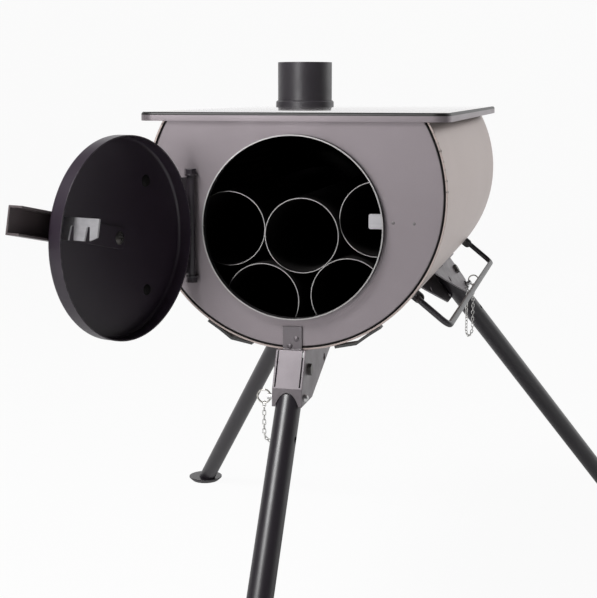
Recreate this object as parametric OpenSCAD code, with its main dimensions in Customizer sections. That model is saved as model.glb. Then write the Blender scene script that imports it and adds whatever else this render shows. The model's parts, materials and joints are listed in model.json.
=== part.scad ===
// Tent wood stove: round sheet-steel body on three folding legs.
// +Z is up, +Y runs from the door to the back, and the floor is z = 0.
// The origin is on the floor, midway between the front foot and the rear feet.

/* [Body] */
// Outside diameter of the round body
body_dia = 240; // [225:1:270]
// Length of the body from front plate to back plate
body_len = 410; // [340:1:480]
// Thickness of the wrapper and of the two end plates
body_sheet = 1.5; // [1:0.1:2]
// Height of the body's underside above the floor
ground_gap = 323.3; // [290:0.1:360]
// Depth of the flange bent round the rim of each end plate
plate_flange = 12; // [8:1:20]

/* [Cooking top] */
// Width of the cooking top
top_width = 246.5; // [235:0.5:290]
// How far the cooking top sits to the left of the body's middle
top_left = 2.5; // [0:0.1:4]
// Height of the cooking surface above the body's axis
top_height = 65.3; // [62:0.1:72]
// Thickness of the cooking top's sheet
top_sheet = 1.5; // [1:0.1:2]
// Depth of the folded edge round the cooking top
top_edge = 7; // [5:0.1:9]
// Radius of the cooking top's corners in plan
top_corner = 13; // [8:1:20]
// How far the cooking top stands proud of the front plate
top_front = 2; // [1.8:0.1:4]
// How far the cooking top stands proud of the back plate
top_back = 2; // [1.8:0.1:5]

/* [Flue spigot] */
// Outside diameter of the flue spigot
spigot_dia = 56; // [50:0.5:60]
// Wall of the flue spigot
spigot_wall = 1; // [0.8:0.1:1.5]
// Height of the spigot above the cooking surface
spigot_height = 45; // [35:0.5:60]
// Depth of the spigot inside the firebox
spigot_depth = 14; // [8:1:20]
// Distance of the spigot to the left of the middle
spigot_left = 72; // [60:1:74]
// Distance from the back plate to the spigot's axis
spigot_from_back = 55; // [45:1:130]
// Outside diameter of the bead at the spigot's foot
bead_dia = 60; // [58:0.5:66]
// Height of the bead at the spigot's foot
bead_height = 6; // [5:0.5:12]

/* [Door opening] */
// Inside diameter of the door opening
opening_dia = 142; // [125:1:148]
// How far the opening's centre lies below the body's axis
opening_drop = 23.3; // [20:0.1:26]
// Wall of the collar round the opening
collar_wall = 1; // [0.8:0.1:1.5]
// How far the collar stands out of the front plate
collar_out = 5.7; // [4:0.1:8]

/* [Door] */
// Sheet of the door pan
door_sheet = 1; // [0.8:0.1:1.5]
// Depth of the door pan
door_depth = 12.5; // [11:0.1:16]
// Radial gap between the collar and the inside of the pan
door_clear = 2.5; // [2.3:0.1:3]
// How far the pan's centre hangs below the opening's centre
door_drop = 2.1; // [0:0.1:2.1]
// Outer bend radius of the pan's edge
door_bend = 3; // [2:0.1:5]
// Gap between the closed pan's free edge and the front plate
door_gap = 0.5; // [0.5:0.1:2]
// Angle that the door stands open
door_open = 108.3; // [0:0.1:130]

/* [Hinge] */
// Distance from the pan's edge to the hinge axis
hinge_gap = 5.6; // [5.2:0.1:8]
// Distance from the front plate to the hinge axis
hinge_out = 5; // [4.8:0.1:7]
// Outside diameter of the hinge tube
hinge_tube_dia = 6.6; // [6.2:0.1:7]
// Length of the hinge tube
hinge_tube_len = 78; // [50:1:90]
// Diameter of the hinge bolt
hinge_bolt_dia = 5; // [4:0.1:5]
// Sheet of the hinge bracket, its ears and the leaf
hinge_sheet = 1.5; // [1:0.1:2]

/* [Latch] */
// Angle at which the lever rests above level
lever_rest = 12; // [0:1:20]
// Angle that the lever lifts from rest
lever_lift = 25; // [15:1:30]
// Length of the lever from its pivot to its free end
lever_reach = 102; // [90:1:130]
// Width of the lever's channel
lever_width = 20.4; // [19:0.1:24]
// Depth of the lever's channel
lever_depth = 12; // [10:0.1:15]
// Sheet of the lever, the strip and the latch plate
lever_sheet = 1.5; // [1:0.1:2]
// Distance of the latch plate in from the opening's edge
latch_margin = 9; // [7:0.1:10]
// How far the latch plate stands in from the pan's inner face
latch_in = 33.3; // [32:0.1:36]
// Width of each notch at the latch plate's lower edge
latch_notch = 5.2; // [4:0.1:5.5]
// Width of the strip inside the door
strip_width = 16; // [14:0.1:18]
// Diameter of the lever's pivot screw
lever_screw_dia = 5; // [4:0.1:6]

/* [Legs] */
// Diameter of the leg tubes
leg_dia = 20; // [16:0.5:22]
// Wall of the leg tubes
leg_wall = 1.5; // [1:0.1:2]
// Angle that the front leg leans forwards
lean_front = 35.5; // [25:0.1:40]
// Angle that the rear legs lean backwards
lean_rear = 32.3; // [25:0.1:40]
// Angle of each rear leg round the body from its lowest line
rear_spread = 32.2; // [25:0.1:38]
// How far a folded leg stays short of parallel with the body
fold_short = 2; // [1.5:0.1:4]
// Distance from the body's surface to the leg pivots
pivot_drop = 15.8; // [14:0.1:20]
// Distance of the leg pivots in from the end plates
pivot_in = 3; // [0:0.1:8]
// Length of leg tube above its pivot
leg_above = 7; // [5:0.1:8]
// Diameter of the pivot bolts
pivot_dia = 6; // [5:0.1:8]
// Diameter of the feet
foot_dia = 44; // [30:0.5:46]
// Thickness of the feet
foot_thick = 5.5; // [3:0.1:6]

/* [Lock pins] */
// Diameter of the lock pins
pin_dia = 6; // [5:0.1:7]
// Distance from the pivot to the lock pin, along the leg
pin_reach = 24.6; // [22:0.1:28]
// Distance from the pivot to the hole for the folded leg
stow_reach = 60; // [50:0.1:70]
// Diameter of the pull rings, to the middle of the wire
ring_dia = 10.6; // [9:0.1:14]
// Wire of the pull rings
ring_wire = 1.4; // [1:0.1:1.6]
// Thickness of the safety chains
chain_wire = 2.4; // [2:0.1:3]
// How far the front pin's chain hangs below its ends
chain_drop_front = 32; // [20:1:60]
// How far the rear pins' chains hang below their ends
chain_drop_rear = 50; // [20:1:60]

/* [Leg brackets] */
// Sheet of the leg brackets
bracket_sheet = 1.5; // [1:0.1:2]
// Gap between a leg tube and each bracket wall
bracket_gap = 0.35; // [0.2:0.05:1]
// Length of a bracket's walls under the body
bracket_len = 120; // [100:1:130]
// Depth of a bracket's walls below the pivot
bracket_below = 25.5; // [24:0.1:30]
// How far a bracket's nose stands out of the end plate
bracket_nose = 21; // [19:0.1:26]

/* [Side bail] */
// Diameter of the bail's rod
bail_rod = 5; // [4:0.1:6]
// Angle of the bail below level, round the body
bail_angle = 39; // [35:0.5:45]
// Distance from the bail's pivots to its outer rod
bail_out = 32; // [26:0.5:36]
// Distance from each end plate to the bail's arms
bail_inset = 14.5; // [12:0.5:30]

/* [Stowed pipes] */
// Outside diameter of the stowed flue pipes
pipe_dia = 60; // [50:0.5:61]
// Wall of the flue pipes
pipe_wall = 0.6; // [0.5:0.1:1.2]
// Distance from the front plate to the front end of the pipe that lies furthest back
pipe_front = 27; // [27:1:40]
// Gap between the pipes' rear ends and the back plate's flange
pipe_rear_gap = 2; // [1:1:20]
// Clearance between neighbouring pipes
pipe_clear = 0.3; // [0.2:0.1:1]
// Gap between the two lowest pipes, as a share of a pipe's diameter
low_gap = 0.148; // [0.05:0.001:0.25]

/* [Hidden] */
$fn = 64;
body_round = 240;
running_fit = 0.05;
close_gap = 0.2;
soft_gap = 0.3;

LEGS = ["front", "left", "right"];
PIPES = ["low_left", "low_right", "middle", "upper_left", "upper_right"];

body_r = body_dia / 2;
inner_r = body_r - body_sheet;
plate_r = inner_r - close_gap;
plate_bend = 2.2;
spigot_y = body_len - spigot_from_back;
spigot_r = spigot_dia / 2;
bead_r = bead_dia / 2;
neck_thinner = 0.4;
neck_r = spigot_r - neck_thinner;
wrap_top = top_height - top_sheet - close_gap;
skirt_low = top_height - top_edge;
opening_r = opening_dia / 2;
collar_r = opening_r + collar_wall;

door_r = collar_r + door_clear + door_sheet;
door_face = -door_gap - door_depth;
door_inside = door_face + door_sheet;
hinge_x = -door_r - hinge_gap;
hinge_tube_r = hinge_tube_dia / 2;
hinge_bolt_r = hinge_bolt_dia / 2;
ear_top = hinge_tube_len / 2 + soft_gap + hinge_sheet;
bolt_head = 4;

screw_r = lever_screw_dia / 2;
lever_back = door_face - soft_gap;
lever_web = lever_back - lever_depth;
strip_face = door_inside + soft_gap + lever_sheet;
latch_reach = opening_r - latch_margin;
latch_tip = door_inside + latch_in;
notch_top = 2.4;
notch_top_r = 1.5;
notch_pitch = 14.5;
tab_thick = 2;
tab_y = -3;
tab_low = 0.8;
tab_high = 12.2;

leg_r = leg_dia / 2;
pivot_ring = body_r + pivot_drop;
bracket_in = leg_r + bracket_gap;
bracket_out = bracket_in + bracket_sheet;
bracket_low = pivot_ring + bracket_below;
bracket_top = body_r + soft_gap;
bracket_bend = pivot_ring + 11.2;
nose_top = bracket_top - 1;
nose_shelf = 6;
nose_lean = 1;
wall_foot = 14;
wall_rear = 80;
nut_flats = 4.6;
pivot_flats = 4.8;
pivot_head = 3;
pin_r = pin_dia / 2;
slot_clear = 0.2;
pin_nose = bracket_out + 0.5;
pin_eye = bracket_out + 3.4;
eye_rod_r = 2.3;
ring_r = ring_dia / 2;
eye_sag = ring_r - sqrt(ring_r * ring_r - eye_rod_r * eye_rod_r);

axis_z = ground_gap + body_r;
opening_z = axis_z - opening_drop;
front_leg_len = (axis_z - pivot_ring) / cos(lean_front);
rear_drop = cos(rear_spread) * cos(lean_rear);
rear_leg_len = (axis_z - pivot_ring * cos(rear_spread)) / rear_drop;
front_foot_y = pivot_in - front_leg_len * sin(lean_front);
rear_foot_y = body_len - pivot_in + rear_leg_len * sin(lean_rear);
rear_foot_x = sin(rear_spread) * (pivot_ring + rear_leg_len * cos(lean_rear));
front_y = -(front_foot_y + rear_foot_y) / 2;

pipe_r = pipe_dia / 2;
pipe_pitch = pipe_dia + pipe_clear;
pipe_ring = inner_r - pipe_r - pipe_clear;
pipe_len = body_len - plate_flange - pipe_front - pipe_rear_gap;
low_turn = -85.4;
low_half = asin((pipe_pitch + low_gap * pipe_dia) / 2 / pipe_ring);
low_left = polar(pipe_ring, low_turn - low_half);
low_right = polar(pipe_ring, low_turn + low_half);
middle = apex(low_left, low_right, pipe_pitch);
upper_left = middle + polar(pipe_pitch, 176);
upper_right = middle + polar(pipe_pitch, 12.8);
PIPE_AT = [low_left, low_right, middle, upper_left, upper_right];
PIPE_AHEAD = [14, 12, 8, 6, 0];

bail_r = bail_rod / 2;
bail_pivot = body_r + bail_r + 1.5;
bail_bend = 8;
bail_end_bend = 4;
lug_thick = 2;
lug_y = bail_inset + bail_end_bend + lug_thick / 2 + 1;

// The point at one distance from two others, on the upper side of the line between them.
function apex(a, b, reach) =
    let (half = (b - a) / 2)
    a + half + sqrt(reach * reach - half * half) * [-half.y, half.x] / norm(half);

// A point by its radius and its angle from +X.
function polar(radius, angle) = [radius * cos(angle), radius * sin(angle)];

// A point of a leg's own frame in the stove's frame. A leg's frame has x across the bracket towards
// the pull ring, y inwards from the end plate, and drop measured out from the body's axis.
function leg_point(leg, x, y, drop) =
    leg == 0
    ? [-x, front_y + y, axis_z - drop]
    : [
        (leg == 1 ? -1 : 1) * (drop * sin(rear_spread) + x * cos(rear_spread)),
        front_y + body_len - y,
        axis_z - drop * cos(rear_spread) + x * sin(rear_spread)
    ];

function leg_lean(leg) = leg == 0 ? lean_front : lean_rear;
function leg_length(leg) = leg == 0 ? front_leg_len : rear_leg_len;

// ---- Frames ----

// Origin on the body's axis, in the plane of the front plate.
module at_body() {
    translate([0, front_y, axis_z]) children();
}

// Origin at the centre of the door opening, in the plane of the front plate.
module at_opening() {
    translate([0, front_y, opening_z]) children();
}

// The closed door's frame, swung open about the hinge.
module at_door() {
    at_opening()
    translate([hinge_x, -hinge_out, 0])
    rotate([0, 0, -door_open])
    translate([-hinge_x, hinge_out, 0])
    children();
}

// The pan's frame: the closed door's, hung a little low.
module at_pan() {
    at_door() translate([0, 0, -door_drop]) children();
}

// The lever's frame: +X along the lever, on the pan.
module at_lever() {
    at_pan() rotate([0, -lever_rest, 0]) children();
}

// A leg's own frame, with its origin on the body's axis.
module at_leg(leg) {
    at_body()
    if (leg == 0)
        mirror([1, 0, 0]) children();
    else
        translate([0, body_len, 0])
        mirror([leg == 1 ? 1 : 0, 0, 0])
        rotate([0, -rear_spread, 0])
        mirror([0, 1, 0])
        children();
}

// A leg's own frame, with its origin on the leg's pivot.
module at_pivot(leg) {
    at_leg(leg) translate([0, pivot_in, -pivot_ring]) children();
}

// The frame of a leg tube, which runs down -Z from its pivot.
module along_leg(leg) {
    at_pivot(leg) rotate([-leg_lean(leg), 0, 0]) children();
}

// ---- Shapes that repeat ----

// A cylinder along +X from its origin.
module rod_x(radius, length) {
    rotate([0, 90, 0]) cylinder(r = radius, h = length);
}

// A cylinder along +Y from its origin.
module rod_y(radius, length) {
    rotate([-90, 0, 0]) cylinder(r = radius, h = length);
}

// A plate along X whose outline is drawn in Y and Z.
module plate_x(from, thick) {
    translate([from, 0, 0]) rotate([90, 0, 90]) linear_extrude(thick) children();
}

// A plate along Y whose outline is drawn in X and Z.
module plate_y(from, thick) {
    translate([0, from + thick, 0]) rotate([90, 0, 0]) linear_extrude(thick) children();
}

// A wire ring round its origin's Z axis.
module wire_ring(radius, wire) {
    rotate_extrude() translate([radius, 0]) circle(d = wire, $fn = 24);
}

// A quarter bend of a rod, from +X round to +Y about its origin.
module rod_bend(radius, rod) {
    rotate_extrude(angle = 90) translate([radius, 0]) circle(r = rod);
}

// A low domed rivet head that stands up +Z.
module rivet_head(radius, height) {
    ball = (radius * radius + height * height) / (2 * height);
    intersection() {
        translate([0, 0, height - ball]) sphere(r = ball);
        cylinder(r = radius, h = height);
    }
}

// A round disc with its top cut off level.
module flat_disc(radius, top) {
    intersection() {
        circle(r = radius);
        translate([-radius, -radius]) square([2 * radius, radius + top]);
    }
}

// An end plate with a flange bent back from its rim, face at y = 0.
module end_plate() {
    intersection() {
        rotate([-90, 0, 0])
        rotate_extrude()
        union() {
            square([plate_r - plate_bend, body_sheet]);
            translate([plate_r - body_sheet, plate_bend])
            square([body_sheet, plate_flange - plate_bend]);
            translate([plate_r - plate_bend, plate_bend])
            intersection() {
                difference() {
                    circle(r = plate_bend);
                    circle(r = plate_bend - body_sheet);
                }
                translate([0, -plate_bend]) square(plate_bend);
            }
        }
        plate_y(-1, plate_flange + 2) flat_disc(body_r, wrap_top);
    }
}

// ---- Body ----

module body_shell() {
    color("dimgray") at_body()
    difference() {
        plate_y(0, body_len) flat_disc(body_r, wrap_top);
        plate_y(-1, body_len + 2) circle(r = inner_r);
    }
}

module front_plate() {
    color("gray")
    difference() {
        at_body() end_plate();
        at_opening() translate([0, -1, 0]) rod_y(collar_r + running_fit, body_sheet + 2);
    }
}

module back_plate() {
    color("gray") at_body() translate([0, body_len, 0]) mirror([0, 1, 0]) end_plate();
}

module opening_collar() {
    seam = 0.6;
    color("silver") at_opening()
    difference() {
        translate([0, -collar_out, 0]) rod_y(collar_r, collar_out + body_sheet);
        translate([0, -collar_out - 1, 0]) rod_y(opening_r, collar_out + body_sheet + 2);
        translate([-collar_r - 1, -collar_out - 1, -seam / 2]) cube([6, collar_out + 4, seam]);
    }
}

// The tab stands in from the collar, its inner corners rounded.
module catch_tab() {
    corner = 1.5;
    tab_left = latch_reach - 1.8;
    tab_long = latch_margin + 2;
    tab_tall = tab_high - tab_low;
    color("lightgray") at_opening()
    plate_y(tab_y, tab_thick)
    intersection() {
        circle(r = opening_r - running_fit, $fn = body_round);
        union() {
            translate([tab_left, tab_low + corner]) square([tab_long, tab_tall - 2 * corner]);
            translate([tab_left + corner, tab_low]) square([tab_long, tab_tall]);
            for (z = [tab_low + corner, tab_high - corner])
                translate([tab_left + corner, z]) circle(r = corner);
        }
    }
}

// The cooking top's outline, drawn in by inset.
module top_outline(inset) {
    half = top_width / 2 - inset;
    low = -top_front + inset;
    high = body_len + top_back - inset;
    bend = top_corner - inset;
    translate([-top_left, 0])
    union() {
        translate([-half + bend, low]) square([2 * (half - bend), high - low]);
        translate([-half, low + bend]) square([2 * half, high - low - 2 * bend]);
        for (x = [-half + bend, half - bend], y = [low + bend, high - bend])
            translate([x, y]) circle(r = bend);
    }
}

module top_plate() {
    color("gainsboro") at_body()
    difference() {
        translate([0, 0, skirt_low]) linear_extrude(top_edge) top_outline(0);
        translate([0, 0, skirt_low - 1]) linear_extrude(top_edge - top_sheet + 1) top_outline(top_sheet);
        translate([-spigot_left, spigot_y, 0]) cylinder(r = bead_r + running_fit, h = top_height + 1);
    }
}

// The spigot, a hair thinner inside its bead.
module flue_spigot() {
    color("black") at_body() translate([-spigot_left, spigot_y, top_height])
    difference() {
        union() {
            translate([0, 0, -spigot_depth]) cylinder(r = neck_r, h = spigot_depth + spigot_height);
            translate([0, 0, bead_height]) cylinder(r = spigot_r, h = spigot_height - bead_height);
        }
        translate([0, 0, -spigot_depth - 1])
        cylinder(r = spigot_r - spigot_wall, h = spigot_depth + spigot_height + 2);
    }
}

// The ring that holds the spigot, let into the cooking top.
module spigot_bead() {
    bead_in = neck_r + running_fit;
    slope = 0.6 * (bead_r - bead_in);
    color("black") at_body() translate([-spigot_left, spigot_y, top_height])
    rotate_extrude()
    polygon([
        [bead_in, -top_sheet],
        [bead_r, -top_sheet],
        [bead_r, bead_height - slope],
        [bead_r - slope, bead_height],
        [bead_in, bead_height]
    ]);
}

// ---- Hinge and door ----

module hinge_ear(z) {
    ear_r = hinge_tube_r + 1.2;
    translate([hinge_x, -hinge_out, z])
    difference() {
        union() {
            cylinder(r = ear_r, h = hinge_sheet);
            translate([-ear_r, 0, 0]) cube([2 * ear_r, hinge_out, hinge_sheet]);
        }
        translate([0, 0, -1]) cylinder(r = hinge_bolt_r + running_fit, h = hinge_sheet + 2);
    }
}

module hinge_ears() {
    color("black") at_opening()
    union() {
        hinge_ear(ear_top - hinge_sheet);
        hinge_ear(-ear_top);
    }
}

module hinge_bolt() {
    color("black") at_opening() translate([hinge_x, -hinge_out, 0])
    union() {
        translate([0, 0, -ear_top - bolt_head]) cylinder(r = hinge_bolt_r, h = 2 * ear_top + bolt_head);
        translate([0, 0, ear_top]) cylinder(r = nut_flats, h = bolt_head, $fn = 6);
    }
}

module hinge_nut() {
    color("black") at_opening() translate([hinge_x, -hinge_out, -ear_top - bolt_head])
    difference() {
        cylinder(r = nut_flats, h = bolt_head, $fn = 6);
        translate([0, 0, -1]) cylinder(r = hinge_bolt_r + running_fit, h = bolt_head + 2);
    }
}

module hinge_tube() {
    color("black") at_door() translate([hinge_x, -hinge_out, -hinge_tube_len / 2])
    difference() {
        cylinder(r = hinge_tube_r, h = hinge_tube_len);
        translate([0, 0, -1]) cylinder(r = hinge_bolt_r + running_fit, h = hinge_tube_len + 2);
    }
}

module hinge_leaf() {
    leaf_in = door_face - close_gap;
    leaf_out = leaf_in - hinge_sheet;
    tube_front = -hinge_out - hinge_tube_r;
    leaf_half = hinge_tube_len / 2 - 1;
    leaf_far = -30;
    flare = 9;
    bend_out = -door_r - 0.7;
    bend_in = -door_r + 1.4;
    lap = 0.2;
    color("black") at_door()
    difference() {
        union() {
            translate([0, 0, -leaf_half])
            linear_extrude(2 * leaf_half)
            polygon([
                [hinge_x - 1, tube_front + lap],
                [hinge_x - 1, tube_front - hinge_sheet],
                [hinge_x, tube_front - hinge_sheet],
                [bend_out, leaf_out],
                [bend_in, leaf_out],
                [bend_in, leaf_in],
                [-door_r - close_gap, leaf_in],
                [hinge_x + 1, tube_front + lap]
            ]);
            plate_y(leaf_out, hinge_sheet)
            polygon([
                [-door_r + 1, -leaf_half],
                [leaf_far, -leaf_half - flare],
                [leaf_far, leaf_half + flare],
                [-door_r + 1, leaf_half]
            ]);
        }
        translate([hinge_x, -hinge_out, -hinge_tube_len / 2])
        cylinder(r = hinge_tube_r + running_fit, h = hinge_tube_len);
    }
}

module door_pan() {
    color("black") at_pan()
    difference() {
        translate([0, -door_gap, 0])
        rotate([90, 0, 0])
        rotate_extrude($fn = 96)
        union() {
            translate([door_r - door_sheet, 0]) square([door_sheet, door_depth - door_bend]);
            translate([0, door_depth - door_sheet]) square([door_r - door_bend, door_sheet]);
            translate([door_r - door_bend, door_depth - door_bend])
            intersection() {
                difference() {
                    circle(r = door_bend);
                    circle(r = door_bend - door_sheet);
                }
                square(door_bend);
            }
        }
        translate([0, door_face - 1, 0]) rod_y(screw_r + running_fit, door_sheet + 2);
    }
}

// ---- Latch ----

module door_lever() {
    lever_tail = 10;
    color("dimgray") at_lever()
    difference() {
        translate([-lever_tail, lever_web, -lever_width / 2])
        cube([lever_reach + lever_tail, lever_depth, lever_width]);
        translate([-lever_tail - 1, lever_web + lever_sheet, -lever_width / 2 + lever_sheet])
        cube([lever_reach + lever_tail + 2, lever_depth, lever_width - 2 * lever_sheet]);
        translate([0, lever_web - 1, 0]) rod_y(screw_r + running_fit, lever_sheet + 2);
    }
}

// The strip inside the door, with the corners of its free end rounded.
module latch_strip() {
    corner = 4;
    end = 6;
    half = strip_width / 2;
    strip_long = latch_reach - lever_sheet / 2 + end - corner;
    color("dimgray") at_lever()
    difference() {
        plate_y(strip_face - lever_sheet, lever_sheet)
        union() {
            translate([-end + corner, -half]) square([strip_long, strip_width]);
            translate([-end, -half + corner]) square([end, strip_width - 2 * corner]);
            for (z = [-half + corner, half - corner])
                translate([-end + corner, z]) circle(r = corner);
        }
        translate([0, strip_face - lever_sheet - 1, 0]) rod_y(screw_r + running_fit, lever_sheet + 2);
    }
}

// One notch, narrower towards its round top.
module latch_slot(at) {
    low = -strip_width / 2 - 1;
    union() {
        translate([at, notch_top - notch_top_r]) circle(r = notch_top_r);
        polygon([
            [at - latch_notch / 2, low],
            [at + latch_notch / 2, low],
            [at + notch_top_r, notch_top - notch_top_r],
            [at - notch_top_r, notch_top - notch_top_r]
        ]);
    }
}

// The end of the strip, bent up square to it.
module latch_plate() {
    low = -strip_width / 2;
    first = tab_y + tab_thick / 2;
    chamfer = [7.2, 3.2];
    color("silver") at_lever()
    plate_x(latch_reach - lever_sheet / 2, lever_sheet)
    difference() {
        polygon([
            [strip_face - lever_sheet, low],
            [latch_tip - chamfer.x, low],
            [latch_tip, low + chamfer.y],
            [latch_tip, -low],
            [strip_face - lever_sheet, -low]
        ]);
        latch_slot(first);
        latch_slot(first + notch_pitch);
    }
}

module lever_screw() {
    head_r = 5;
    head = 2;
    cross = 1.4;
    cross_len = 6;
    color("silver") at_lever()
    difference() {
        union() {
            translate([0, lever_web - bolt_head, 0]) rod_y(screw_r, strip_face - lever_web + bolt_head);
            translate([0, strip_face, 0]) rotate([-90, 0, 0]) rivet_head(head_r, head);
        }
        for (turn = [0, 90])
            rotate([0, turn, 0])
            translate([-cross_len / 2, strip_face + head / 2, -cross / 2])
            cube([cross_len, head, cross]);
    }
}

module lever_nut() {
    color("silver") at_lever() translate([0, lever_web - bolt_head, 0])
    difference() {
        rotate([-90, 0, 0]) cylinder(r = nut_flats, h = bolt_head, $fn = 6);
        translate([0, -1, 0]) rod_y(screw_r + running_fit, bolt_head + 2);
    }
}

// ---- Legs ----

// The outline of a bracket's side wall, with its three holes.
module bracket_wall(leg) {
    lean = leg_lean(leg);
    pivot = [pivot_in, -pivot_ring];
    difference() {
        polygon([
            [-nose_shelf, -bracket_top],
            [nose_lean - bracket_nose, -bracket_bend],
            [-bracket_nose, -bracket_low],
            [wall_foot + pivot_in, -bracket_low],
            [wall_rear + pivot_in, -pivot_ring],
            [bracket_len, -bracket_top]
        ]);
        translate(pivot) circle(r = pivot_dia / 2 + running_fit);
        translate(pivot + polar(pin_reach, -90 - lean)) circle(r = pin_r + running_fit);
        translate(pivot + polar(stow_reach, -fold_short)) circle(r = pin_r + slot_clear);
    }
}

// The bracket's nose in outline: shelf, sloping face and front flange.
module nose_outline() {
    polygon([
        [-0.1, -nose_top],
        [-nose_shelf, -nose_top],
        [nose_lean - bracket_nose, -bracket_bend],
        [-bracket_nose, -bracket_low],
        [bracket_sheet - bracket_nose, -bracket_low],
        [nose_lean + bracket_sheet - bracket_nose, -bracket_bend],
        [1 - nose_shelf, -nose_top - bracket_sheet],
        [-0.1, -nose_top - bracket_sheet]
    ]);
}

// A narrow cut that parts the sloping face from a side wall.
module nose_cut(side) {
    cut = 0.9;
    reach = 3;
    plate_x(side * (bracket_in - cut / 2) - cut / 2, cut)
    polygon([
        [-nose_shelf - reach, 1 - nose_top],
        [nose_lean - bracket_nose - reach, 1 - bracket_bend],
        [nose_lean - bracket_nose + reach, 1 - bracket_bend],
        [reach - nose_shelf, -nose_top - 2]
    ]);
}

module leg_bracket(leg) {
    flange_r = body_r + soft_gap;
    flange_front = 18;
    flange_len = bracket_len - flange_front - 8;
    flange_mid = 16.2;
    flange_width = 10.4;
    tab_width = 15.4;
    tab_rise = 19.5;
    arch = 80;
    color("gray")
    difference() {
        at_leg(leg)
        union() {
            for (x = [-bracket_out, bracket_in])
                plate_x(x, bracket_sheet) bracket_wall(leg);
            difference() {
                plate_x(-bracket_out, 2 * bracket_out) nose_outline();
                for (side = [-1, 1])
                    nose_cut(side);
            }
            // tab riveted to the end plate
            translate([-tab_width / 2, -bracket_sheet - 0.1, -nose_top - bracket_sheet])
            cube([tab_width, bracket_sheet, tab_rise]);
            // feet turned out along the body
            intersection() {
                difference() {
                    translate([0, flange_front, 0])
                    rod_y(flange_r + bracket_sheet, flange_len, $fn = body_round);
                    rod_y(flange_r, bracket_len, $fn = body_round);
                }
                for (side = [-1, 1])
                    translate([side * flange_mid - flange_width / 2, 0, -2 * body_r])
                    cube([flange_width, bracket_len, 2 * body_r]);
            }
        }
        // arch that the leg comes out of
        along_leg(leg) translate([0, 0, -arch]) cylinder(r = leg_r + bracket_gap, h = arch);
    }
}

// The round hole and the hooked slot, which lets the leg swing off its lock pin.
module hook_slot() {
    slot_r = pin_r + slot_clear;
    translate([-leg_dia, 0, -pin_reach]) rod_x(slot_r, 2 * leg_dia);
    intersection() {
        difference() {
            translate([-leg_dia, 0, 0]) rod_x(pin_reach + slot_r, 2 * leg_dia);
            translate([-leg_dia - 1, 0, 0]) rod_x(pin_reach - slot_r, 2 * leg_dia + 2);
        }
        translate([-leg_dia, -leg_dia, -2 * pin_reach]) cube([2 * leg_dia, leg_dia, 2 * pin_reach]);
    }
}

module leg_tube(leg) {
    length = leg_length(leg);
    floor_cut = 1000;
    color("black")
    difference() {
        along_leg(leg)
        difference() {
            translate([0, 0, -length - leg_dia]) cylinder(r = leg_r, h = length + leg_dia + leg_above);
            translate([0, 0, -length - leg_dia - 1])
            cylinder(r = leg_r - leg_wall, h = length + leg_dia + leg_above + 2);
            translate([-leg_dia, 0, 0]) rod_x(pivot_dia / 2 + running_fit, 2 * leg_dia);
            translate([-leg_dia, 0, -stow_reach]) rod_x(pin_r + slot_clear, 2 * leg_dia);
            hook_slot();
        }
        translate([-floor_cut, -floor_cut, -floor_cut])
        cube([2 * floor_cut, 2 * floor_cut, floor_cut + foot_thick]);
    }
}

module foot(leg) {
    rim = 1.4;
    slope = 4.5;
    face_r = foot_dia / 2 - slope;
    rear_x = (leg == 1 ? -1 : 1) * rear_foot_x;
    foot_x = leg == 0 ? 0 : rear_x;
    foot_y = front_y + (leg == 0 ? front_foot_y : rear_foot_y);
    color("black") translate([foot_x, foot_y, 0])
    rotate_extrude()
    polygon([
        [0, 0],
        [face_r, 0],
        [foot_dia / 2, foot_thick - rim],
        [foot_dia / 2, foot_thick],
        [0, foot_thick]
    ]);
}

module pivot_bolt(leg) {
    color("dimgray") at_pivot(leg)
    union() {
        translate([-bracket_out - pivot_head, 0, 0]) rod_x(pivot_dia / 2, 2 * bracket_out + pivot_head);
        translate([bracket_out, 0, 0])
        rotate([0, 90, 0])
        cylinder(r = pivot_flats, h = pivot_head, $fn = 6);
    }
}

module pivot_nut(leg) {
    color("dimgray") at_pivot(leg) translate([-bracket_out - pivot_head, 0, 0])
    difference() {
        rotate([0, 90, 0]) cylinder(r = pivot_flats, h = pivot_head, $fn = 6);
        translate([-1, 0, 0]) rod_x(pivot_dia / 2 + running_fit, pivot_head + 2);
    }
}

module lock_pin(leg) {
    stop = 1;
    stop_r = pin_r + 1.2;
    stop_at = bracket_out + close_gap;
    color("silver") along_leg(leg) translate([0, 0, -pin_reach])
    difference() {
        union() {
            translate([-pin_nose, 0, 0]) sphere(r = pin_r);
            translate([-pin_nose, 0, 0]) rod_x(pin_r, pin_nose + stop_at + stop);
            translate([stop_at, 0, 0]) rod_x(stop_r, stop);
            translate([bracket_out, 0, 0]) rod_x(eye_rod_r, pin_eye + eye_rod_r - bracket_out);
        }
        rotate([leg_lean(leg), 0, 0])
        translate([pin_eye + eye_sag / 2, 0, -5])
        cylinder(r = ring_wire / 2 + eye_sag / 2 + 0.1, h = 10);
    }
}

module pull_ring(leg) {
    color("silver") along_leg(leg) translate([0, 0, -pin_reach])
    rotate([leg_lean(leg), 0, 0])
    translate([pin_eye + ring_r, 0, 0]) rotate([90, 0, 0]) wire_ring(ring_r, ring_wire);
}

// A slack chain drawn as one plain loop that hangs between two points.
module hanging_loop(a, b, low) {
    wire = chain_wire / 2;
    half = norm([b.x - a.x, b.y - a.y]) / 2;
    turn = atan2(b.y - a.y, b.x - a.x);
    translate([(a.x + b.x) / 2, (a.y + b.y) / 2, low + half])
    rotate([0, 0, turn])
    union() {
        translate([-half, 0, 0]) cylinder(r = wire, h = a.z - low - half);
        translate([half, 0, 0]) cylinder(r = wire, h = b.z - low - half);
        rotate([-90, 0, 0])
        rotate_extrude(angle = 180)
        translate([half, 0])
        circle(r = wire);
    }
}

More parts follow.
